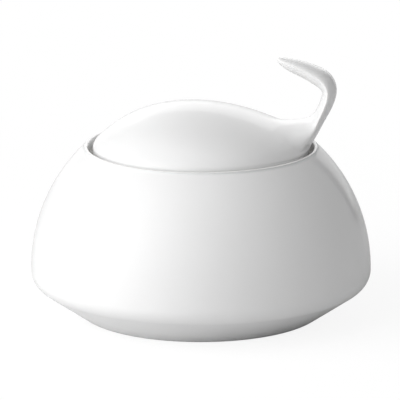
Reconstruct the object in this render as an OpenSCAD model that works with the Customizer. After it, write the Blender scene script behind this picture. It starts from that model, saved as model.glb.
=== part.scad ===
// Covered sugar bowl in glazed white porcelain: a low round bowl and a loose lid whose
// side sweeps up into one hook-shaped handle that curls back over the lid.
// Both pieces share one frame: the origin is the centre of the foot, on the table,
// +Z is up and the hook rises on the +X side.

/* [Bowl] */
// Width of the bowl at its widest level
bowl_d = 115; // [90:1:145]
// Height of the widest level, where the dome begins
belly_h = 15.4; // [13:0.2:20]
// Width of the foot, where its cone would meet the table
foot_d = 80; // [60:1:90]
// Height at which the foot cone reaches the full width
shoulder_h = 12; // [9:0.5:15]
// Rounding where the foot cone turns into the dome
shoulder_r = 6.3; // [3:0.1:8]
// Rounding of the foot's outer corner
foot_r = 4.5; // [1:0.1:6]
// Width of the ring that stands on the table
ring_w = 2.3; // [1.5:0.1:6]
// Depth of the hollow inside the ring
recess_h = 1.8; // [0.8:0.1:3]
// Thickness of the bowl's wall
wall = 3.6; // [2.5:0.1:5]
// Thickness of the bowl's floor
floor_t = 4; // [2.5:0.1:6]

/* [Mouth and lid seat] */
// Width of the mouth
mouth_d = 76; // [62:1:92]
// Rounding of the rim
lip_r = 0.7; // [0.4:0.05:1.5]
// Depth of the lid seat below the rim
seat_depth = 3.3; // [2.5:0.1:5]
// Width of the ledge that carries the lid
ledge_w = 4.5; // [3.5:0.1:7]
// Thickness of the ledge
ledge_t = 3; // [2.4:0.1:5]

/* [Lid] */
// Gap all round between the lid's edge and the mouth
lid_gap = 1.6; // [0.8:0.1:3]
// Height of the lid's edge above its seat
edge_h = 3.7; // [2.8:0.1:5]
// How far the dome bends down as it nears the edge
edge_drop = 2; // [1:0.1:3]
// Rise of the lid's dome above the place where it bends down to its edge
dome_rise = 12; // [8:0.5:15]
// How much steeper the dome falls towards the hook, as a share of its rise
dome_lean = 0.19; // [0:0.01:0.3]
// Thickness of the lid's shell, measured upright
lid_wall = 4; // [3:0.1:5]
// Gap all round between the locating collar and the ledge
collar_gap = 0.8; // [0.4:0.1:1.5]
// Thickness of the locating collar
collar_t = 2.6; // [2:0.1:4]
// Depth of the locating collar below the seat
collar_h = 4.5; // [3:0.1:7]

/* [Hook handle] */
// Height of the hook's tip above the bowl's rim
hook_h = 29.8; // [22:0.5:38]
// How far the bend overhangs the lid's edge
hook_out = 7.7; // [5:0.1:10]
// How far the arm curls back in from the bend to its tip
hook_reach = 18.4; // [12:0.2:24]
// Width of the hook across its bend
hook_w = 15.8; // [11:0.2:20]
// Thickness of the hook at its bend
hook_t = 6; // [4.5:0.1:8]
// How far the hook's root spreads in over the dome
root_l = 10.4; // [8:0.1:16]

/* [Hidden] */

// Degrees between points along the round stretches
arc_step = 3;
$fn = 180;

// ---------------------------------------------------------------- bowl outline
bowl_r = bowl_d / 2;
mouth_r = mouth_d / 2;
cone_a = atan(shoulder_h / (bowl_r - foot_d / 2));
along = [cos(cone_a), sin(cone_a)];
inward = [-sin(cone_a), cos(cone_a)];
dome_c = [0, belly_h];
foot_edge = [foot_d / 2, 0];

// Points of an arc from angle a to angle b, both ends included.
function arc(c, r, a, b, step = arc_step) =
    let (n = max(2, ceil(abs(b - a) / step)))
    [for (i = [0 : n]) c + r * [cos(a + (b - a) * i / n), sin(a + (b - a) * i / n)]];

// Angle of the line from p to q.
function aim(p, q) = atan2(q.y - p.y, q.x - p.x);

// Centre of the rounding q between the cone through p and the dome of radius r.
function shoulder_c(p, r, q) =
    let (a = p + q * inward - dome_c, s = -a * along + sqrt(pow(a * along, 2) - a * a + pow(r - q, 2)))
    dome_c + a + s * along;

// Centre, on level z, of the rounding q that touches the dome of radius r from inside.
function level_c(z, r, q) = [sqrt(pow(r - q, 2) - pow(z - belly_h, 2)), z];

lip_c = let (x = mouth_r + lip_r) [x, belly_h + sqrt(pow(bowl_r - lip_r, 2) - x * x)];
rim_h = lip_c.y + lip_r;
seat_z = rim_h - seat_depth;
throat_r = mouth_r - ledge_w;
under_z = seat_z - ledge_t;
floor_z = recess_h + floor_t;
seat_fillet = 0.6;
throat_round = 1;
under_fillet = 3;
inner_shoulder_r = 9;
floor_fillet = 10;
ring_round = 0.6;

foot_c = [foot_edge.x + (foot_r - foot_r / cos(cone_a)) / tan(cone_a), foot_r];
ring_in = foot_c.x - ring_w;
outer_c = shoulder_c(foot_edge, bowl_r, shoulder_r);
inner_edge = foot_edge + wall * inward;
inner_c = shoulder_c(inner_edge, bowl_r - wall, inner_shoulder_r);
under_c = level_c(under_z - under_fillet, bowl_r - wall, under_fillet);
floor_c = [inner_edge.x + (floor_z + floor_fillet - inner_edge.y - floor_fillet / cos(cone_a))
           / tan(cone_a), floor_z + floor_fillet];

outside = concat(
    arc(foot_c, foot_r, -90, cone_a - 90),
    arc(outer_c, shoulder_r, cone_a - 90, aim(dome_c, outer_c)),
    arc(dome_c, bowl_r, aim(dome_c, outer_c) + arc_step, aim(dome_c, lip_c) - arc_step / 2),
    arc(lip_c, lip_r, aim(dome_c, lip_c), 180));
seat = concat(
    arc([mouth_r - seat_fillet, seat_z + seat_fillet], seat_fillet, 0, -90),
    arc([throat_r + throat_round, seat_z - throat_round], throat_round, 90, 180),
    arc([throat_r + throat_round, under_z + throat_round], throat_round, 180, 270));
inside = concat(
    arc(under_c, under_fillet, 90, aim(dome_c, under_c)),
    arc(dome_c, bowl_r - wall, aim(dome_c, under_c) - arc_step, aim(dome_c, inner_c) + arc_step),
    arc(inner_c, inner_shoulder_r, aim(dome_c, inner_c), cone_a - 90),
    arc(floor_c, floor_fillet, cone_a - 90, -90),
    [[0, floor_z]]);
underside = concat(
    [[0, recess_h]],
    arc([ring_in - 2 * ring_round, recess_h - ring_round], ring_round, 90, 0),
    arc([ring_in, ring_round], ring_round, 180, 270));

module bowl() {
    color("white") rotate_extrude() polygon(concat(outside, seat, inside, underside));
}

// ----------------------------------------------------------------- lid surface
// The lid's outer face is one smooth skin carried by closed control rings, from the
// hook's tip, down the hook, out over the dome and down to the edge. Every ring has
// the same number of points, and phi runs round it, with phi = 0 on the +X side.
ring_n = 56;
// Rings of the skin for each control ring
sub = 3;
lid_r = mouth_r - lid_gap;
collar_r = throat_r - collar_gap;
// The dome ends at edge_z, and the upright edge is a plain cylinder up to join_z
edge_z = seat_z + edge_h;
join_z = seat_z + 1;
cap_r = (lid_r * lid_r + dome_rise * dome_rise) / (2 * dome_rise);
phis = [for (i = [0 : ring_n - 1]) 360 * i / ring_n];

// Rise of the dome above its edge at distance r from the axis.
function cap(r) = sqrt(cap_r * cap_r - r * r) - cap_r + dome_rise;

// Height of the dome over a place on the lid. The last term bends it down at the edge.
function dome_z(x, y) =
    let (r = norm([x, y]))
    edge_z + cap(r) * (1 - dome_lean * x / lid_r) + edge_drop * (1 - pow(r / lid_r, 20));

// How strongly a ring feels the hook's outer face: 1 at phi = 0, almost 0 elsewhere.
function facing(phi) = pow((1 + cos(phi)) / 2, 12);

// The hook's cross-sections from its tip to its root. Each holds the place of its centre
// (share of hook_out, share of hook_reach back in, share of hook_h), the tilt of its
// outer side, its half width as a share of hook_w / 2, and the outer and inner bulge
// as shares of hook_t.
sections = [
    [1.00, 1.00, 0.998, 72, 0.14, 0.08, 0.14],
    [1.00, 0.91, 0.979, 72, 0.29, 0.15, 0.32],
    [1.00, 0.75, 0.949, 70, 0.47, 0.25, 0.48],
    [1.00, 0.54, 0.902, 68, 0.66, 0.33, 0.52],
    [1.00, 0.32, 0.836, 64, 0.84, 0.41, 0.56],
    [0.74, 0.03, 0.760, 42, 0.97, 0.54, 0.57],
    [0.80, 0.00, 0.645, 8, 1.00, 0.61, 0.27],
    [0.67, 0.00, 0.510, -16, 0.96, 0.54, 0.22],
    [0.44, 0.00, 0.380, -24, 0.95, 0.48, 0.17],
    [0.26, 0.00, 0.274, -27, 1.01, 0.42, 0.31],
    [0.13, 0.00, 0.200, -31, 1.20, 0.40, 0.83]];
// How sharply the two edges of the lens are drawn: 0 is an oval, more is sharper
crease = 0.25;

// One ring of the hook: a lens with creased edges, thicker on its inner side.
function hook_ring(s) =
    let (x = lid_r + s[0] * hook_out - s[1] * hook_reach, z = rim_h + s[2] * hook_h)
    [for (phi = phis)
        let (c = cos(phi), n = (c > 0 ? s[5] : s[6]) * hook_t * c * pow(abs(c), crease))
        [x + n * cos(s[3]), s[4] * hook_w / 2 * sin(phi), z + n * sin(s[3])]];

// One ring on the dome: an oval from x_in to x_out, drawn down to z_out at phi = 0.
// Away from phi = 0 no point is further out than r_max, so that the next ring lies round it.
function dome_ring(x_in, x_out, r_max, fill, z_out) =
    let (cx = (x_in + x_out) / 2, ax = (x_out - x_in) / 2, ay = fill * sqrt(lid_r * ax))
    [for (phi = phis)
        let (w = facing(phi), across = [cx + ax * cos(phi), ay * sin(phi)],
             shrink = min(1, ((1 - w) * r_max + w * x_out) / norm(across)),
             x = shrink * across.x, y = shrink * across.y)
        [x, y, (1 - w) * dome_z(x, y) + w * z_out]];

// One ring round the lid's edge, at height z and drawn down to z_out at phi = 0.
function edge_ring(r, z, z_out) =
    [for (phi = phis)
        let (w = facing(phi)) [r * cos(phi), r * sin(phi), (1 - w) * z + w * z_out]];

dome_rings = 8;
hook_z_out = edge_z + 2.4;
edge_z_out = join_z + 1.3;
controls = let (
    tip = hook_ring(sections[0]),
    pole = [lid_r + hook_out - hook_reach, 0, rim_h + hook_h])
    concat(
        [[for (p = tip) 2 * pole - p], [for (p = tip) pole]],
        [for (s = sections) hook_ring(s)],
        [for (i = [0 : dome_rings])
            let (u = i / dome_rings,
                 x_in = (lid_r - root_l) * (1 - pow(u, 1.15)) - (lid_r - 1) * pow(u, 1.15),
                 x_out = lid_r + 1.6 - 1.4 * pow(u, 0.8), r_max = lid_r - 0.5 + 0.5 * pow(u, 0.8))
            dome_ring(x_in, x_out, r_max, 0.93 + 0.06 * u, hook_z_out + (edge_z_out - hook_z_out) * u)],
        [edge_ring(lid_r - 0.15, edge_z - 0.1, join_z + 1.1),
         edge_ring(lid_r, edge_z - 0.6, join_z + 0.9),
         edge_ring(lid_r, join_z + 1.2, join_z + 0.7),
         edge_ring(lid_r, join_z + 0.6, join_z + 0.35),
         edge_ring(lid_r, join_z, join_z),
         edge_ring(lid_r, join_z - 0.6, join_z - 0.35)]);

// Weights of four neighbouring control rings at the share t of the way along.
function weights(t) =
    [pow(1 - t, 3), 3 * pow(t, 3) - 6 * t * t + 4,
     -3 * pow(t, 3) + 3 * t * t + 3 * t + 1, pow(t, 3)] / 6;

// The ring between control rings i + 1 and i + 2.
function blend(i, t) =
    let (w = weights(t))
    [for (k = [0 : ring_n - 1])
        w[0] * controls[i][k] + w[1] * controls[i + 1][k]
        + w[2] * controls[i + 2][k] + w[3] * controls[i + 3][k]];

skin = [for (i = [0 : len(controls) - 4]) for (k = [0 : sub - 1]) if (i + k > 0) blend(i, k / sub)];

// The lid's lower edge, its flat seat and its locating collar, from the skin inwards.
collar_in = collar_r - collar_t;
collar_z = seat_z - collar_h;
edge_round = 0.6;
collar_round = 0.8;
coarse = 30;
seating = [for (p = concat(
    arc([lid_r - edge_round, seat_z + edge_round], edge_round, 0, -90, coarse),
    [[collar_r, seat_z]],
    arc([collar_r - collar_round, collar_z + collar_round], collar_round, 0, -90, coarse),
    arc([collar_in + collar_round, collar_z + collar_round], collar_round, -90, -180, coarse)))
    edge_ring(p.x, p.y, p.y)];

// The hollow side, from the collar's inner wall up to the middle of the dome.
hollow_n = 8;
hollow = [for (i = [0 : hollow_n - 1])
    let (r = collar_in * cos(90 * (i + 0.4) / hollow_n))
    [for (phi = phis)
        let (x = r * cos(phi), y = r * sin(phi)) [x, y, dome_z(x, y) - lid_wall]]];

// A closed solid from a start point, rings of ring_n points and an end point.
module ringed(start, rings, end) {
    last = 1 + (len(rings) - 1) * ring_n;
    polyhedron(
        points = concat([start], [for (r = rings) each r], [end]),
        faces = concat(
            [for (k = [0 : ring_n - 1]) [0, 1 + k, 1 + (k + 1) % ring_n]],
            [for (j = [0 : len(rings) - 2]) for (k = [0 : ring_n - 1])
                let (a = 1 + j * ring_n + k, b = 1 + j * ring_n + (k + 1) % ring_n)
                each [[a, a + ring_n, b], [b, a + ring_n, b + ring_n]]],
            [for (k = [0 : ring_n - 1]) [last + ring_n, last + (k + 1) % ring_n, last + k]]));
}

module lid() {
    color("white") ringed(controls[1][0], concat(skin, seating, hollow), [0, 0, dome_z(0, 0) - lid_wall]);
}

bowl();
lid();
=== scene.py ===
# %% [markdown]
# # A covered sugar bowl in glazed porcelain
#
# The object is two pieces of hard white porcelain. The bowl is most of a low dome on a
# shallow sloping foot. The lid sits inside its mouth, carries the dome's curve on to the
# top, and at one side sweeps up into a strap that bends back over it as a hook.
# Both are slip-cast: every outer face is smooth, every edge is softly rounded by the
# glaze, and only the faces that stand on something are left bare.
#
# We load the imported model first. It is the fixed frame: its sizes are the real ones,
# and everything below is built to them, in metres.

# %% Load the frame
import bpy
import math
import numpy as np
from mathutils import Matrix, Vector


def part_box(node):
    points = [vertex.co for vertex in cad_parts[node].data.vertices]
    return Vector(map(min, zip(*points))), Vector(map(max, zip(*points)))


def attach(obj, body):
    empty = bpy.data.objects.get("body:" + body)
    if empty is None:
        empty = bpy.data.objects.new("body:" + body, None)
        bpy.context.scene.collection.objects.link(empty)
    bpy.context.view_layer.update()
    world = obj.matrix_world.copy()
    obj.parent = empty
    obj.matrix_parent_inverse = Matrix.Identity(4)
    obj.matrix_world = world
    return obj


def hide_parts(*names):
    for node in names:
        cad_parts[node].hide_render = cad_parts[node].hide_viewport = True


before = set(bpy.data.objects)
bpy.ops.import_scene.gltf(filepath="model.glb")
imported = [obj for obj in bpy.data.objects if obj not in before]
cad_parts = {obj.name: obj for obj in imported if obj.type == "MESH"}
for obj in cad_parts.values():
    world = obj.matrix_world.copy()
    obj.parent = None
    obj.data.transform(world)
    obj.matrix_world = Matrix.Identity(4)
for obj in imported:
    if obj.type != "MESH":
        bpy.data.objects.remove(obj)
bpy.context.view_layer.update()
MM = 0.001
bowl_low, bowl_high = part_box("bowl")
lid_low, lid_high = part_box("lid")
print("bowl", bowl_low, bowl_high, "lid", lid_low, lid_high)

# %% [markdown]
# ## The camera
# A long lens far from the object keeps its outline almost free of perspective, as in a
# catalogue. The camera stands level with the y = 0 plane of the bowl, so the hook
# is seen exactly from the side, and it looks down by 14 degrees, which opens the lid.

# %% Camera
VIEW_DOWN = math.radians(14.0)
VIEW_DISTANCE = 1500 * MM
aim_point = Vector((-0.3 * MM, 0.0, 38.7 * MM))
camera = bpy.data.objects.new("camera", bpy.data.cameras.new("camera"))
bpy.context.collection.objects.link(camera)
toward_camera = Vector((0.0, -math.cos(VIEW_DOWN), math.sin(VIEW_DOWN)))
camera.location = aim_point + VIEW_DISTANCE * toward_camera
camera.rotation_euler = toward_camera.to_track_quat("Z", "Y").to_euler()
camera.data.sensor_width = 36.0
camera.data.lens = 400.0
camera.data.clip_end = 30.0
bpy.context.scene.camera = camera
print("camera at mm", [round(v / MM, 1) for v in camera.location])

# %% [markdown]
# ## From rings to a mesh
# Both pieces are made of closed rings of points: a turned wall is rings of one radius
# each, and the lid's skin is rings that change shape from the hook's pointed tip to the
# round edge. One function joins neighbouring rings with four-sided faces and closes each
# end with a fan of triangles round a pole, so there is no seam and no hole.
# A face takes its finish from the ring it starts at: 0 is glazed, 1 is bare porcelain.

# %% Rings to a closed mesh
GLAZED, BARE = 0, 1


def ring_faces(rings, count, reverse):
    """Indices of the quads between rings and of the fans to the two poles.

    Point k of ring j has index 1 + j * count + k, the first pole has index 0 and the
    last pole comes after all rings."""
    j, k = np.meshgrid(np.arange(rings - 1), np.arange(count), indexing="ij")
    a = 1 + j * count + k
    b = 1 + j * count + (k + 1) % count
    quads = np.stack([a, b, b + count, a + count], -1).reshape(-1, 4)
    k = np.arange(count)
    near = np.stack([np.zeros_like(k), 1 + (k + 1) % count, 1 + k], -1)
    last = 1 + (rings - 1) * count
    far = np.stack([np.full_like(k, last + count), last + k, last + (k + 1) % count], -1)
    if reverse:
        quads, near, far = quads[:, ::-1], near[:, ::-1], far[:, ::-1]
    return quads, near, far


def ringed_mesh(name, start, rings, end, finish, pool, reverse=False):
    """A smooth closed piece from a start pole, rings of shape (m, n, 3) and an end pole.

    finish holds one finish per ring, and pool one value per ring point."""
    m, n = rings.shape[:2]
    quads, near, far = ring_faces(m, n, reverse)
    points = np.concatenate([[start], rings.reshape(-1, 3), [end]])
    mesh = bpy.data.meshes.new(name)
    mesh.from_pydata(points.tolist(), [], quads.tolist() + near.tolist() + far.tolist())
    slots = np.concatenate([np.repeat(finish[:-1], n), np.repeat(finish[[0, -1]], n)])
    mesh.polygons.foreach_set("material_index", slots.astype(np.int32))
    mesh.polygons.foreach_set("use_smooth", np.ones(len(slots), bool))
    layer = mesh.attributes.new("glaze_pool", "FLOAT", "POINT")
    layer.data.foreach_set("value", np.concatenate([[0.0], pool.ravel(), [0.0]]))
    mesh.update()
    piece = bpy.data.objects.new(name, mesh)
    bpy.context.collection.objects.link(piece)
    triangles = 2 * len(quads) + len(near) + len(far)
    print(name, "rings", m, "points round", n, "triangles", triangles)
    return piece

# %% [markdown]
# ## Where the glaze pools
# A glaze is a liquid glass when it is fired. It runs off sharp edges and gathers in
# hollows, so an edge looks a little warmer and a hollow a little cooler. The amount
# follows the surface's curvature, which the rings give directly: along a line of points,
# curvature is how fast the unit direction turns per length, and its part along the
# outward normal is negative on an edge and positive in a hollow.

# %% Curvature of a ringed surface
POOL_WIDTH = 0.8 * MM


def turning(before, after):
    """Curvature vector at a point: the change of unit direction over the mean step."""
    la = np.linalg.norm(after, axis=-1, keepdims=True) + 1e-9
    lb = np.linalg.norm(before, axis=-1, keepdims=True) + 1e-9
    return (after / la - before / lb) / (0.5 * (la + lb))


def pooling(rings, reverse=False):
    """Signed share from -1 (glaze runs off) to 1 (glaze gathers) at every ring point.

    The hyperbolic tangent of the curvature times POOL_WIDTH keeps sharp places in range."""
    round_step = np.roll(rings, -1, 1) - rings
    along = np.diff(rings, axis=0)
    down = np.concatenate([along, along[-1:]])
    up = np.concatenate([along[:1], along])
    normal = np.cross(round_step + np.roll(round_step, 1, 1), down + up)
    normal /= np.linalg.norm(normal, axis=-1, keepdims=True) + 1e-12
    bend = turning(np.roll(round_step, 1, 1), round_step) + turning(up, down)
    outward = -1.0 if reverse else 1.0
    return np.tanh(outward * np.sum(bend * normal, -1) * POOL_WIDTH)

# %% [markdown]
# ## The bowl's outline
# The bowl is a body of revolution, so one outline makes it. It could be drawn as a
# curve by eye, but its parts are plain: a sloping foot cone, a sphere for the dome, and
# small roundings that touch both neighbours. The centre of each rounding follows from
# that contact, as on a drawing board. Radius and height come from the frame, the rest
# are the same named sizes as in the construction.

# %% Sizes of the bowl
bowl_r = 0.5 * (bowl_high.x - bowl_low.x)
rim_h = bowl_high.z
belly_h = 15.4 * MM
foot_edge = np.array([40.0 * MM, 0.0])
shoulder_h = 12.0 * MM
shoulder_r = 6.3 * MM
foot_r = 4.5 * MM
ring_w = 2.3 * MM
recess_h = 1.8 * MM
wall = 3.6 * MM
floor_t = 4.0 * MM
mouth_r = 38.0 * MM
lip_r = 0.7 * MM
seat_depth = 3.3 * MM
ledge_w = 4.5 * MM
ledge_t = 3.0 * MM
inner_shoulder_r = 9.0 * MM
floor_fillet = 10.0 * MM
under_fillet = 3.0 * MM
throat_round = 1.0 * MM
seat_fillet = 0.6 * MM
ring_round = 0.6 * MM
# The ring of points next to each pole has this radius.
pole_r = 1.0 * MM

cone_a = math.atan2(shoulder_h, bowl_r - foot_edge[0])
along = np.array([math.cos(cone_a), math.sin(cone_a)])
inward = np.array([-math.sin(cone_a), math.cos(cone_a)])
dome_c = np.array([0.0, belly_h])
seat_z = rim_h - seat_depth
throat_r = mouth_r - ledge_w
under_z = seat_z - ledge_t
floor_z = recess_h + floor_t
print("foot cone slope", round(math.degrees(cone_a), 1), "seat height mm", round(seat_z / MM, 2))

# %% The outline's roundings


def arc(centre, radius, start, stop, step=3.0):
    """Points centre + radius * (cos, sin) from angle start to angle stop, in degrees."""
    count = max(3, int(abs(stop - start) / step) + 2)
    angle = np.radians(np.linspace(start, stop, count))
    return np.stack([centre[0] + radius * np.cos(angle),
                     centre[1] + radius * np.sin(angle)], -1)


def aim(p, q):
    """Angle of the line from p to q, in degrees."""
    return math.degrees(math.atan2(q[1] - p[1], q[0] - p[0]))


def shoulder_centre(p, radius, rounding):
    """Centre of the rounding that touches the cone through p and the dome from inside.

    It lies one rounding from the cone and radius - rounding from the dome's centre."""
    a = p + rounding * inward - dome_c
    s = -a @ along + math.sqrt((a @ along) ** 2 - a @ a + (radius - rounding) ** 2)
    return dome_c + a + s * along


def cone_centre(p, z, rounding):
    """Centre, at height z, of the rounding that touches the cone through p from inside."""
    return np.array([p[0] + (z - p[1] - rounding / math.cos(cone_a)) / math.tan(cone_a), z])


lip_c = np.array([mouth_r + lip_r, rim_h - lip_r])
foot_c = cone_centre(foot_edge, foot_r, foot_r)
outer_c = shoulder_centre(foot_edge, bowl_r, shoulder_r)
inner_edge = foot_edge + wall * inward
inner_c = shoulder_centre(inner_edge, bowl_r - wall, inner_shoulder_r)
under_rise = under_z - under_fillet - belly_h
under_c = np.array([math.sqrt((bowl_r - wall - under_fillet) ** 2 - under_rise**2),
                    under_z - under_fillet])
floor_c = cone_centre(inner_edge, floor_z + floor_fillet, floor_fillet)
ring_in = foot_c[0] - ring_w
down = math.degrees(cone_a) - 90.0
for title, centre in (("foot", foot_c), ("shoulder", outer_c), ("rim", lip_c)):
    print("centre of the", title, "rounding mm", (centre / MM).round(2).tolist())

# %% [markdown]
# The glaze stops short of every face that stands on something in the kiln, or it would
# fuse there: the foot ring below, and the ledge where the lid is fired in its place.
# So the outline is a list of stretches, each with its finish. Straight stretches get
# points in between, because smooth shading across one long face would bend its light.

# %% Stretches of an outline
OUTLINE_STEP = 1.2 * MM


def stretch(parts, longest):
    """One outline from (points, finish) parts, with no step longer than about longest.

    Extra points are laid at equal arc length and read off the outline by interpolation,
    except those that would fall within 0.35 of a step of a point that is there already."""
    points = np.concatenate([p for p, _ in parts])
    finish = np.concatenate([np.full(len(p), f) for p, f in parts])
    length = np.concatenate([[0.0], np.cumsum(np.linalg.norm(np.diff(points, axis=0), axis=1))])
    keep = np.concatenate([[True], np.diff(length) > 1e-6])
    points, finish, length = points[keep], finish[keep], length[keep]
    extra = np.arange(longest, length[-1], longest)
    near = np.abs(extra[:, None] - length[None, :]).min(1)
    where = np.sort(np.concatenate([length, extra[near > 0.35 * longest]]))
    out = np.stack([np.interp(where, length, points[:, i]) for i in (0, 1)], -1)
    at = np.searchsorted(length, where + 1e-9, side="right") - 1
    return out, finish[at]


def turned(outline, around):
    """Rings of an outline turned about Z: (r cos phi, r sin phi, z)."""
    r, z = outline[:, 0, None], outline[:, 1, None]
    phi = around[None, :]
    return np.stack([r * np.cos(phi), r * np.sin(phi), z + 0 * phi], -1)

# %% [markdown]
# The outline starts under the foot, goes out round the foot ring, up the dome and over the
# rim, down to the ledge and its throat, and along the inner wall to the middle of the floor.

# %% The bowl's outline and finish
bowl_parts = [
    (np.array([[pole_r, recess_h]]), GLAZED),
    (arc([ring_in - 2 * ring_round, recess_h - ring_round], ring_round, 90, 0, 15), GLAZED),
    (arc([ring_in, ring_round], ring_round, 180, 270, 15), BARE),
    (arc(foot_c, foot_r, -90, -78, 3), BARE),
    (arc(foot_c, foot_r, -78, down, 3), GLAZED),
    (arc(outer_c, shoulder_r, down, aim(dome_c, outer_c)), GLAZED),
    (arc(dome_c, bowl_r, aim(dome_c, outer_c), aim(dome_c, lip_c), 1.2), GLAZED),
    (arc(lip_c, lip_r, aim(dome_c, lip_c), 180, 12), GLAZED),
    (arc([mouth_r - seat_fillet, seat_z + seat_fillet], seat_fillet, 0, -90, 15), BARE),
    (arc([throat_r + throat_round, seat_z - throat_round], throat_round, 90, 180, 10), BARE),
    (arc([throat_r + throat_round, under_z + throat_round], throat_round, 180, 270, 10), GLAZED),
    (arc(under_c, under_fillet, 90, aim(dome_c, under_c), 6), GLAZED),
    (arc(dome_c, bowl_r - wall, aim(dome_c, under_c), aim(dome_c, inner_c), 1.5), GLAZED),
    (arc(inner_c, inner_shoulder_r, aim(dome_c, inner_c), down), GLAZED),
    (arc(floor_c, floor_fillet, down, -90), GLAZED),
    (np.array([[pole_r, floor_z]]), GLAZED)]
bowl_line, bowl_finish = stretch(bowl_parts, OUTLINE_STEP)
print("points on the outline", len(bowl_line), "of them bare", int((bowl_finish == BARE).sum()))

# %% [markdown]
# A fired ring is never a perfect circle. This one is drawn oval by a tenth of a millimetre
# at the rim, and by nothing at the foot, which is ground flat.

# %% The bowl
OVAL = 0.1 * MM
OVAL_TURN = 0.6
BOWL_POINTS = 256
bowl_phi = np.linspace(0.0, 2.0 * np.pi, BOWL_POINTS, endpoint=False)
bowl_rings = turned(bowl_line, bowl_phi)
stray = OVAL * np.cos(2.0 * bowl_phi + OVAL_TURN)[None, :, None] * (bowl_rings[..., 2:] / rim_h)
bowl_rings[..., :2] *= 1.0 + stray / bowl_r
bowl = ringed_mesh("porcelain_bowl", [0.0, 0.0, recess_h], bowl_rings, [0.0, 0.0, floor_z],
                   bowl_finish, pooling(bowl_rings))

# %% [markdown]
# ## The lid and its hook
# The hook grows out of the dome without a seam, so lid and hook are one skin. Two solids
# joined by a blend would leave a ridge under the glaze. Instead closed control rings run
# from the hook's tip down to the lid's edge, and a smooth curve is carried through each
# point's column of rings. The hook's rings are lenses with two drawn edges. Below the
# root the rings lie on the dome, and spread from an oval round the root to the full edge.

# %% Sizes of the lid
lid_gap = 1.6 * MM
edge_h = 3.7 * MM
edge_drop = 2.0 * MM
dome_rise = 12.0 * MM
dome_lean = 0.19
lid_wall = 4.0 * MM
collar_gap = 0.8 * MM
collar_t = 2.6 * MM
collar_h = 4.5 * MM
hook_h = 29.8 * MM
hook_out = 7.7 * MM
hook_reach = 18.4 * MM
hook_w = 15.8 * MM
hook_t = 6.0 * MM
root_l = 10.4 * MM

lid_r = mouth_r - lid_gap
collar_r = throat_r - collar_gap
collar_in = collar_r - collar_t
collar_z = seat_z - collar_h
edge_z = seat_z + edge_h
join_z = seat_z + 1.0 * MM
cap_r = (lid_r**2 + dome_rise**2) / (2 * dome_rise)
print("lid across mm", round(2 * lid_r / MM, 1), "radius of its dome mm", round(cap_r / MM, 1))

# %% Points round a ring and the dome's height
# Points are laid closer together at the hook's two edges, a quarter turn each way.
LID_POINTS = 240
CROWDING = 0.2
theta = np.linspace(0.0, 2.0 * np.pi, LID_POINTS, endpoint=False)
phi = theta + CROWDING * np.sin(2.0 * theta)
cos_phi, sin_phi = np.cos(phi), np.sin(phi)
# How strongly a ring feels the hook's outer face: 1 facing +X, almost 0 elsewhere. A higher
# power makes the hook's side of the ring narrower.
FACING_POWER = 12
facing = ((1.0 + cos_phi) / 2.0) ** FACING_POWER


def dome_z(x, y):
    """Height of the dome: a sphere's cap, a little lower towards the hook, that bends down
    by edge_drop * (r / lid_r)^20 as it nears the edge."""
    cap = np.sqrt(cap_r**2 - x**2 - y**2) - cap_r + dome_rise
    bend = edge_drop * (1.0 - (np.hypot(x, y) / lid_r) ** 20)
    return edge_z + cap * (1.0 - dome_lean * x / lid_r) + bend


print("height of the dome's middle mm", round(float(dome_z(0.0, 0.0)) / MM, 2))

# %% [markdown]
# Each cross-section of the hook is given by the place of its centre (shares of the
# overhang, of the reach back in and of the height), the tilt of its outer side, its half
# width as a share of half the hook's width, and how far its outer and inner sides bulge
# as shares of its thickness. They run from the tip to the root.

# %% The hook's cross-sections
SECTIONS = [
    (1.00, 1.00, 0.998, 72, 0.14, 0.08, 0.14),
    (1.00, 0.91, 0.979, 72, 0.29, 0.15, 0.32),
    (1.00, 0.75, 0.949, 70, 0.47, 0.25, 0.48),
    (1.00, 0.54, 0.902, 68, 0.66, 0.33, 0.52),
    (1.00, 0.32, 0.836, 64, 0.84, 0.41, 0.56),
    (0.74, 0.03, 0.760, 42, 0.97, 0.54, 0.57),
    (0.80, 0.00, 0.645, 8, 1.00, 0.61, 0.27),
    (0.67, 0.00, 0.510, -16, 0.96, 0.54, 0.22),
    (0.44, 0.00, 0.380, -24, 0.95, 0.48, 0.17),
    (0.26, 0.00, 0.274, -27, 1.01, 0.42, 0.31),
    (0.13, 0.00, 0.200, -31, 1.20, 0.40, 0.83)]
CREASE = 0.25


def hook_ring(out, back, up, tilt, half_width, outer, inner):
    """A lens with creased edges: across it runs sin(phi), and each side bulges by
    cos(phi) * |cos(phi)|^CREASE along the tilted normal."""
    x = lid_r + out * hook_out - back * hook_reach
    z = rim_h + up * hook_h
    bulge = np.where(cos_phi > 0, outer, inner) * hook_t * cos_phi * np.abs(cos_phi) ** CREASE
    a = math.radians(tilt)
    return np.stack([x + bulge * math.cos(a), 0.5 * half_width * hook_w * sin_phi,
                     z + bulge * math.sin(a)], -1)


print("cross-sections of the hook", len(SECTIONS))

# %% [markdown]
# Below the root, each ring has a side that faces the hook and still follows the hook's
# outer face down to the edge. The rest of it lies on the dome. Rings that cross would fold
# the skin, so each one stays inside the next wherever the dome falls steeply.

# %% Rings on the dome and round the edge


def dome_ring(x_in, x_out, r_max, fill, z_out):
    """An oval on the dome from x_in to x_out, drawn down to z_out where it faces +X.

    Its half width is that of a circle of radius lid_r touched from inside. Away from +X no
    point is further out than r_max, so that the next ring lies round it and none cross."""
    half = 0.5 * (x_out - x_in)
    x = 0.5 * (x_in + x_out) + half * cos_phi
    y = fill * math.sqrt(lid_r * half) * sin_phi
    shrink = np.minimum(1.0, ((1.0 - facing) * r_max + facing * x_out) / np.hypot(x, y))
    x, y = shrink * x, shrink * y
    return np.stack([x, y, (1.0 - facing) * dome_z(x, y) + facing * z_out], -1)


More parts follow.
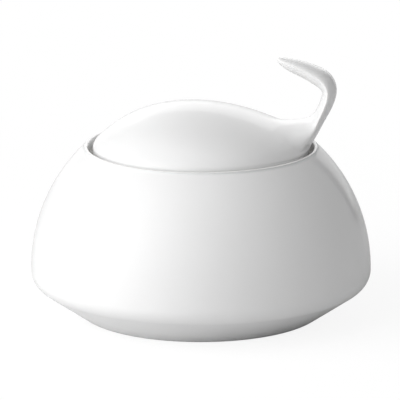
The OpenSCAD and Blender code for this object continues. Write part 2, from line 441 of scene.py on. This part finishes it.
def edge_ring(radius, z, z_out):
    """A circle at height z, drawn down to z_out where it faces +X."""
    return np.stack([radius * cos_phi, radius * sin_phi,
                     (1.0 - facing) * z + facing * z_out], -1)

# %% [markdown]
# A subdivision surface could round the control rings off as well. A B-spline does it here,
# because it gives exactly as many rings as are asked for and keeps them in their order.

# %% A smooth curve through the rings


def spline(controls, sub):
    """Cubic B-spline through each column of control rings, sub rings to a step.

    Four neighbouring rings are weighted by (1-t)^3, 3t^3-6t^2+4, -3t^3+3t^2+3t+1 and t^3,
    each over 6."""
    t = np.arange(sub)[:, None] / sub
    weights = np.concatenate([(1 - t)**3, 3 * t**3 - 6 * t**2 + 4,
                              -3 * t**3 + 3 * t**2 + 3 * t + 1, t**3], 1) / 6.0
    windows = np.stack([controls[q:len(controls) - 3 + q] for q in range(4)], 1)
    rings = np.einsum("sq,iqnc->isnc", weights, windows).reshape(-1, *controls.shape[1:])
    last = (controls[-3] + 4.0 * controls[-2] + controls[-1]) / 6.0
    return np.concatenate([rings, last[None]])

# %% [markdown]
# Now the control rings are laid in order: two at the tip that close it, the hook's, the
# dome's and the edge's. From the root to the last ring on the dome, the side under the hook
# comes in and down, the far side travels across the dome, and the ovals grow fuller.

# %% The lid's skin
DOME_RINGS = 8
root_proud, edge_proud = 1.6 * MM, 0.2 * MM
root_z_out, edge_z_out = edge_z + 2.4 * MM, join_z + 1.3 * MM
root_fill, edge_fill = 0.93, 0.99
held_in = 0.5 * MM
far_margin = 1.0 * MM
SKIN_STEPS = 8
tip_ring = hook_ring(*SECTIONS[0])
tip = np.array([lid_r + hook_out - hook_reach, 0.0, rim_h + hook_h])
controls = [2.0 * tip - tip_ring, np.broadcast_to(tip, tip_ring.shape)]
controls += [hook_ring(*section) for section in SECTIONS]
for u in np.linspace(0.0, 1.0, DOME_RINGS + 1):
    across, outward = u**1.15, u**0.8
    x_in = (lid_r - root_l) * (1.0 - across) - (lid_r - far_margin) * across
    x_out = lid_r + root_proud + (edge_proud - root_proud) * outward
    r_max = lid_r - held_in * (1.0 - outward)
    fill = root_fill + (edge_fill - root_fill) * u
    z_out = root_z_out + (edge_z_out - root_z_out) * u
    controls.append(dome_ring(x_in, x_out, r_max, fill, z_out))
controls += [
    edge_ring(lid_r - 0.15 * MM, edge_z - 0.1 * MM, join_z + 1.1 * MM),
    edge_ring(lid_r, edge_z - 0.6 * MM, join_z + 0.9 * MM),
    edge_ring(lid_r, join_z + 1.2 * MM, join_z + 0.7 * MM),
    edge_ring(lid_r, join_z + 0.6 * MM, join_z + 0.35 * MM),
    edge_ring(lid_r, join_z, join_z),
    edge_ring(lid_r, join_z - 0.6 * MM, join_z - 0.35 * MM)]
skin = spline(np.array(controls), SKIN_STEPS)[1:]
print("control rings", len(controls), "skin rings", len(skin))

# %% [markdown]
# Under the skin the lid is turned again: a flat seat, a collar that keeps it centred in
# the mouth, and a hollow dome. The seat and the collar's outer wall stand against the
# bowl in the kiln, so they are bare. The hollow is glazed.

# %% The lid's seat and collar
edge_round = 0.6 * MM
collar_round = 0.8 * MM
corner_round = 0.4 * MM
seat_parts = [
    (np.array([[lid_r, join_z - 0.2 * MM]]), GLAZED),
    (arc([lid_r - edge_round, seat_z + edge_round], edge_round, 0, -90, 15), BARE),
    (arc([collar_r + corner_round, seat_z - corner_round], corner_round, 90, 180, 30), BARE),
    (arc([collar_r - collar_round, collar_z + collar_round], collar_round, 0, -90, 15), BARE),
    (arc([collar_in + collar_round, collar_z + collar_round], collar_round, -90, -180, 15),
     GLAZED)]
seat_line, seat_finish = stretch(seat_parts, OUTLINE_STEP)
seat_rings = turned(seat_line, phi)
print("rings of the seat and collar", len(seat_rings))

# %% The hollow and the lid


def hollow_ring(radius, drop=0.0):
    """A circle under the dome, one wall lower, or drop below that."""
    x, y = radius * cos_phi, radius * sin_phi
    return np.stack([x, y, dome_z(x, y) - lid_wall - drop], -1)


HOLLOW_SHARES = (0.985, 0.93, 0.84, 0.7, 0.52, 0.32, 0.14)
HOLLOW_STEPS = 6
wall_top = edge_z - 4.5 * MM
turn_drop = 1.2 * MM
wall_levels = np.linspace(collar_z + collar_round, wall_top, 5)
wall_rings = [edge_ring(collar_in, z, z) for z in wall_levels]
hollow_controls = wall_rings[:1] + wall_rings + [hollow_ring(collar_in, turn_drop)]
hollow_controls += [hollow_ring(collar_in * share) for share in HOLLOW_SHARES]
apex = np.array([0.0, 0.0, float(dome_z(0.0, 0.0)) - lid_wall])
hollow_controls += [np.broadcast_to(apex, tip_ring.shape), 2.0 * apex - hollow_controls[-1]]
hollow = spline(np.array(hollow_controls), HOLLOW_STEPS)[2:-1]
lid_rings = np.concatenate([skin, seat_rings, hollow])
lid_finish = np.concatenate([
    np.full(len(skin), GLAZED), seat_finish, np.full(len(hollow), GLAZED)])
lid = ringed_mesh("porcelain_lid", tip, lid_rings, apex, lid_finish,
                  pooling(lid_rings, reverse=True), reverse=True)

# %% [markdown]
# Each piece rides on the body it belongs to and stands for that body's plain solid.

# %% Bodies
for piece, part in ((bowl, "bowl"), (lid, "lid")):
    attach(piece, part)
    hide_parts(part)

# %% [markdown]
# ## Materials
# Porcelain is a white body, hard and slightly translucent, under a thin coat of clear
# glass. A shader says the same: a pale matt base with a little light scattered under the
# surface, and a clear coat of refractive index 1.5 that gives the reflections.
# The glaze is never quite flat. It keeps a slow wave from the slip and the brush, about
# a centimetre long, and a fine orange peel of about a millimetre.

# %% Helpers for materials


def linear(hex_code):
    """An sRGB hex colour as linear RGBA.

    A channel c becomes c / 12.92 up to 0.04045, and ((c + 0.055) / 1.055)^2.4 above it."""
    c = np.array([int(hex_code[i:i + 2], 16) for i in (0, 2, 4)]) / 255.0
    rgb = np.where(c <= 0.04045, c / 12.92, ((c + 0.055) / 1.055) ** 2.4)
    return (*(float(v) for v in rgb), 1.0)


def add_node(tree, kind, inputs=None, **settings):
    """Adds a node with its settings and inputs: a socket is linked, anything else is a value."""
    node = tree.nodes.new(kind)
    for name, value in settings.items():
        setattr(node, name, value)
    for name, value in (inputs or {}).items():
        if isinstance(value, bpy.types.NodeSocket):
            tree.links.new(value, node.inputs[name])
        else:
            node.inputs[name].default_value = value
    return node


def new_material(name):
    """An empty node material with its output node."""
    material = bpy.data.materials.new(name)
    material.use_nodes = True
    material.node_tree.nodes.clear()
    output = add_node(material.node_tree, "ShaderNodeOutputMaterial")
    return material, material.node_tree, output

# %% [markdown]
# Four patterns play over the glaze. The body's white drifts a little every two centimetres
# or so. The glaze is cooler where it pools and warmer where it runs thin. The slow wave and
# the peel are heights, so they only bend the light. The base stays rather matt, and the
# coat has about half its full weight, because with all of it the glancing reflections on
# the hook came out speckled.

# %% Clear glaze over hard white porcelain
CLOUD = 24 * MM
WAVE, WAVE_HEIGHT = 11 * MM, 0.05 * MM
PEEL, PEEL_HEIGHT = 0.9 * MM, 0.0015 * MM


def glazed_porcelain():
    """Slip-cast porcelain under a clear glaze: neutral white, glossy, faintly waved."""
    material, tree, output = new_material("clear_glaze_on_white_porcelain")
    where = add_node(tree, "ShaderNodeTexCoord").outputs["Object"]
    cloud, wave, peel = (
        add_node(tree, "ShaderNodeTexNoise", {
            "Vector": where, "Scale": 1.0 / size, "Detail": detail}).outputs["Fac"]
        for size, detail in ((CLOUD, 3.0), (WAVE, 1.0), (PEEL, 1.0)))
    pool = add_node(tree, "ShaderNodeAttribute", attribute_name="glaze_pool").outputs["Fac"]
    body = add_node(tree, "ShaderNodeMix", {
        0: cloud, 6: linear("F2F2F2"), 7: linear("EEEEEE")}, data_type="RGBA").outputs[2]
    for low, high, colour in ((0.1, 0.9, "E9ECED"), (-0.5, -1.0, "F1EFEC")):
        share = add_node(tree, "ShaderNodeMapRange", {
            "Value": pool, "From Min": low, "From Max": high, "To Max": 0.5}).outputs["Result"]
        body = add_node(tree, "ShaderNodeMix", {
            0: share, 6: body, 7: linear(colour)}, data_type="RGBA").outputs[2]
    waved = add_node(tree, "ShaderNodeBump", {
        "Height": wave, "Distance": WAVE_HEIGHT, "Strength": 1.0}).outputs["Normal"]
    peeled = add_node(tree, "ShaderNodeBump", {
        "Height": peel, "Distance": PEEL_HEIGHT, "Strength": 1.0,
        "Normal": waved}).outputs["Normal"]
    shader = add_node(tree, "ShaderNodeBsdfPrincipled", {
        "Base Color": body, "Roughness": 0.4, "Specular IOR Level": 0.5,
        "Subsurface Weight": 0.05, "Subsurface Radius": (1.0, 0.95, 0.9),
        "Subsurface Scale": 1.5 * MM,
        "Coat Weight": 0.55, "Coat Roughness": 0.04, "Coat IOR": 1.5,
        "Normal": waved, "Coat Normal": peeled})
    tree.links.new(shader.outputs[0], output.inputs["Surface"])
    return material

# %% [markdown]
# Where there is no glaze the fired body shows: matt, a little creamier, with a grain like
# very fine sandpaper, and on the foot ring faint grey marks from tables and trays.

# %% Bare fired porcelain
GRAIN, GRAIN_HEIGHT = 0.35 * MM, 0.02 * MM
RUBBED_SPOT = 4 * MM


def bare_porcelain():
    """Unglazed fired body: matt and fine-grained, with faint grey rubbing."""
    material, tree, output = new_material("bare_fired_porcelain")
    where = add_node(tree, "ShaderNodeTexCoord").outputs["Object"]
    grain, spots = (
        add_node(tree, "ShaderNodeTexNoise", {
            "Vector": where, "Scale": 1.0 / size, "Detail": detail,
            "Roughness": roughness}).outputs["Fac"]
        for size, detail, roughness in ((GRAIN, 3.0, 0.7), (RUBBED_SPOT, 4.0, 0.65)))
    rubbed = add_node(tree, "ShaderNodeMapRange", {
        "Value": spots, "From Min": 0.55, "From Max": 0.75, "To Max": 0.6}).outputs["Result"]
    rough = add_node(tree, "ShaderNodeMapRange", {
        "Value": grain, "From Min": 0.3, "From Max": 0.7,
        "To Min": 0.62, "To Max": 0.8}).outputs["Result"]
    body = add_node(tree, "ShaderNodeMix", {
        0: grain, 6: linear("E9E8E5"), 7: linear("DFDEDB")}, data_type="RGBA").outputs[2]
    body = add_node(tree, "ShaderNodeMix", {
        0: rubbed, 6: body, 7: linear("CBCAC7")}, data_type="RGBA").outputs[2]
    grained = add_node(tree, "ShaderNodeBump", {
        "Height": grain, "Distance": GRAIN_HEIGHT, "Strength": 1.0}).outputs["Normal"]
    shader = add_node(tree, "ShaderNodeBsdfPrincipled", {
        "Base Color": body, "Roughness": rough, "Specular IOR Level": 0.4, "Normal": grained})
    tree.links.new(shader.outputs[0], output.inputs["Surface"])
    return material

# %% Both finishes on both pieces
glaze = glazed_porcelain()
bisque = bare_porcelain()
for piece in (bowl, lid):
    piece.data.materials.append(glaze)
    piece.data.materials.append(bisque)
    print(piece.name, [m.name for m in piece.data.materials])

# %% [markdown]
# ## The studio
# White porcelain on white needs its shape from the light alone: large soft lights from the
# left, plain light from all round, and a white floor that throws light back up under the
# foot. They are kept low, so that the porcelain turns pure white only where it faces them.
#
# What a glaze mirrors matters as much. Near its outline it mirrors what stands behind it.
# So the white sweep is only as wide as the camera needs, the room beside it is dimmer,
# and a dark flag stands at its right edge. Photographers put one there to draw a thin line
# inside the outline, which parts a white bowl from a white ground.

# %% Levels of white and kinds of ray


def grey(level):
    """A linear grey of one level as RGBA."""
    return (level, level, level, 1.0)


def ray_kinds(tree):
    """Two shares of 0 or 1: a ray from the camera, and a mirror or clear-glass ray."""
    path = add_node(tree, "ShaderNodeLightPath").outputs
    mirrored = add_node(tree, "ShaderNodeMath", {
        0: path["Is Glossy Ray"], 1: path["Is Transmission Ray"]}, operation="MAXIMUM").outputs[0]
    return path["Is Camera Ray"], mirrored

# %% [markdown]
# The world has three answers. Scattered light gets an even, dim room. The camera gets pure
# white. Mirror rays get the sweep: white where it stands, dark at the flag, the room beside
# it and above its top. Azimuth is the angle from +Y, the direction the camera looks in,
# towards +X, and all angles are in degrees.

# %% The room
SCATTERED_LIGHT = 0.39
ROOM_SEEN = 0.5
FLAG = 0.03
SWEEP = ((-30, ROOM_SEEN), (-20, 1.0), (29, 1.0), (34, FLAG), (38, FLAG), (41, ROOM_SEEN))
SWEEP_TOP = (36.0, 56.0)


def room_round(tree, x, y):
    """The level of white that stands at an azimuth, from the x and y of a point or direction."""
    turn = add_node(tree, "ShaderNodeMath", {0: x, 1: y}, operation="ARCTAN2").outputs[0]
    share = add_node(tree, "ShaderNodeMapRange", {
        "Value": turn, "From Min": -math.pi, "From Max": math.pi}).outputs["Result"]
    ramp = add_node(tree, "ShaderNodeValToRGB", {"Fac": share})
    for stop in ramp.color_ramp.elements:
        stop.color = grey(ROOM_SEEN)
    for angle, level in SWEEP:
        ramp.color_ramp.elements.new((angle + 180.0) / 360.0).color = grey(level)
    return ramp.outputs["Color"]


world = bpy.data.worlds.new("room")
bpy.context.scene.world = world
world.use_nodes = True
world.node_tree.nodes.clear()
tree = world.node_tree
toward = add_node(tree, "ShaderNodeTexCoord").outputs["Generated"]
x, y, z = add_node(tree, "ShaderNodeSeparateXYZ", {0: toward}).outputs
rise = add_node(tree, "ShaderNodeMath", {0: z}, operation="ARCSINE").outputs[0]
above = add_node(tree, "ShaderNodeMapRange", {
    "Value": rise, "From Min": math.radians(SWEEP_TOP[0]),
    "From Max": math.radians(SWEEP_TOP[1])}).outputs["Result"]
mirrored_room = add_node(tree, "ShaderNodeMix", {
    0: above, 6: room_round(tree, x, y), 7: grey(ROOM_SEEN)}, data_type="RGBA").outputs[2]
even, mirror, white = (
    add_node(tree, "ShaderNodeBackground", {"Color": colour, "Strength": strength}).outputs[0]
    for colour, strength in ((grey(1.0), SCATTERED_LIGHT), (mirrored_room, 1.0), (grey(1.0), 1.0)))
camera_ray, mirror_ray = ray_kinds(tree)
seen = add_node(tree, "ShaderNodeMixShader", {0: mirror_ray, 1: even, 2: mirror}).outputs[0]
seen = add_node(tree, "ShaderNodeMixShader", {0: camera_ray, 1: seen, 2: white}).outputs[0]
add_node(tree, "ShaderNodeOutputWorld", {"Surface": seen})
print("room: scattered", SCATTERED_LIGHT, "mirrored", ROOM_SEEN, "stops of the sweep", len(SWEEP))

# %% [markdown]
# The floor is white paper. To the camera it runs out to pure white, and near the foot an
# eighth of what it sees is paper under the lamps, which keeps a faint shadow. In the glaze
# it is plain lit paper near the foot, because that is what gives the sloping foot its
# depth, and further off it takes on the room's levels.
#
# From below it is clear. To scattered rays the paper under the foot glows as painted light,
# so that the foot ring and its hollow can be looked at. Next to none of that light gets out
# past the ring. The paper lies a tenth of a millimetre low, because two faces at one height would
# fight.

# %% The floor's levels and its sheet
PAPER = 0.79
# Only the camera sees this one. It is brighter than paper can be, to meet the white.
LIT_PAPER = 1.3
GLOW_NEAR = 0.88
CAMERA_FADE = (0.1, 0.3)
MIRROR_FADE = (0.3, 1.0)
# Radius of the paper under the foot that glows as painted light for scattered rays.
PAINTED_GLOW_RADIUS = 38 * MM
PAPER_LOW = 0.1 * MM
FLOOR_HALF = 1.5
corners = FLOOR_HALF * np.array([[-1, -1], [1, -1], [1, 1], [-1, 1]])
floor_mesh = bpy.data.meshes.new("floor")
floor_mesh.from_pydata([(x, y, -PAPER_LOW) for x, y in corners], [], [(0, 1, 2, 3)])
floor = bpy.data.objects.new("floor", floor_mesh)
bpy.context.collection.objects.link(floor)
print("floor across m", 2 * FLOOR_HALF)

# %% White paper
material, tree, output = new_material("white_paper_floor")
where = add_node(tree, "ShaderNodeTexCoord").outputs["Object"]
away = add_node(tree, "ShaderNodeVectorMath", {0: where}, operation="LENGTH").outputs["Value"]
x, y = add_node(tree, "ShaderNodeSeparateXYZ", {0: where}).outputs[:2]
paper, lit = (
    add_node(tree, "ShaderNodeBsdfDiffuse", {"Color": grey(level)}).outputs[0]
    for level in (PAPER, LIT_PAPER))
glow, far = (
    add_node(tree, "ShaderNodeEmission", {"Color": colour, "Strength": 1.0}).outputs[0]
    for colour in (grey(1.0), room_round(tree, x, y)))
mirror_share, camera_share = (
    add_node(tree, "ShaderNodeMapRange", {
        "Value": away, "From Min": fade[0], "From Max": fade[1],
        "To Min": near}).outputs["Result"]
    for fade, near in ((MIRROR_FADE, 0.0), (CAMERA_FADE, GLOW_NEAR)))
# Under the foot, scattered rays find a painted glow instead of paper, which lights the bowl's
# underside though no lamp is there.
painted_glow_under_foot = add_node(tree, "ShaderNodeMath", {
    0: away, 1: PAINTED_GLOW_RADIUS}, operation="LESS_THAN").outputs[0]
below = add_node(tree, "ShaderNodeNewGeometry").outputs["Backfacing"]
clear = add_node(tree, "ShaderNodeBsdfTransparent").outputs[0]
camera_ray, mirror_ray = ray_kinds(tree)
to_mirror = add_node(tree, "ShaderNodeMixShader", {0: mirror_share, 1: paper, 2: far}).outputs[0]
to_camera = add_node(tree, "ShaderNodeMixShader", {0: camera_share, 1: lit, 2: glow}).outputs[0]
front = add_node(tree, "ShaderNodeMixShader", {0: painted_glow_under_foot, 1: paper, 2: glow}).outputs[0]
for share, answer in ((mirror_ray, to_mirror), (camera_ray, to_camera), (below, clear)):
    front = add_node(tree, "ShaderNodeMixShader", {0: share, 1: front, 2: answer}).outputs[0]
tree.links.new(front, output.inputs["Surface"])
# The glow is there to be seen, and under the foot it is painted light on the bowl's underside, but
# no rays are spent on it as a lamp.
material.cycles.emission_sampling = "NONE"
floor_mesh.materials.append(material)
print("nodes in the paper", len(tree.nodes))

# %% [markdown]
# Three softboxes light it, as area lamps that face the bowl: a strong one low at the left
# for the long soft shading from left to right, one above it for the lid and the hook, and a
# weak one behind. Only the one behind is seen in the glaze, where it makes the bright strip
# along the top of the lid's dome. The white sweep gives the glaze the rest of what it mirrors.

# %% Lamps
LAMPS_AIM = Vector((0.0, 0.0, 40 * MM))


def soft_light(name, azimuth, rise, distance, width, height, power, in_glaze=False):
    """An area lamp at an azimuth from the camera's side (negative is left), facing the bowl."""
    lamp = bpy.data.lights.new(name, "AREA")
    lamp.shape = "RECTANGLE"
    lamp.size, lamp.size_y, lamp.energy = width, height, power
    a, e = math.radians(azimuth), math.radians(rise)
    away = Vector((math.sin(a) * math.cos(e), -math.cos(a) * math.cos(e), math.sin(e)))
    holder = bpy.data.objects.new(name, lamp)
    holder.location = LAMPS_AIM + distance * away
    holder.rotation_euler = away.to_track_quat("Z", "Y").to_euler()
    holder.visible_camera = False
    holder.visible_glossy = in_glaze
    bpy.context.collection.objects.link(holder)
    print(name, "watts", power, "at mm", [round(v / MM) for v in holder.location])


soft_light("side_softbox", azimuth=-65, rise=18, distance=1.2, width=1.4, height=1.1, power=13.4)
soft_light("high_softbox", azimuth=-60, rise=45, distance=1.2, width=1.4, height=1.1, power=4.0)
soft_light("back_softbox", azimuth=180, rise=18, distance=1.2, width=0.9, height=0.5, power=1.15,
           in_glaze=True)
bpy.context.scene.view_settings.view_transform = "Standard"
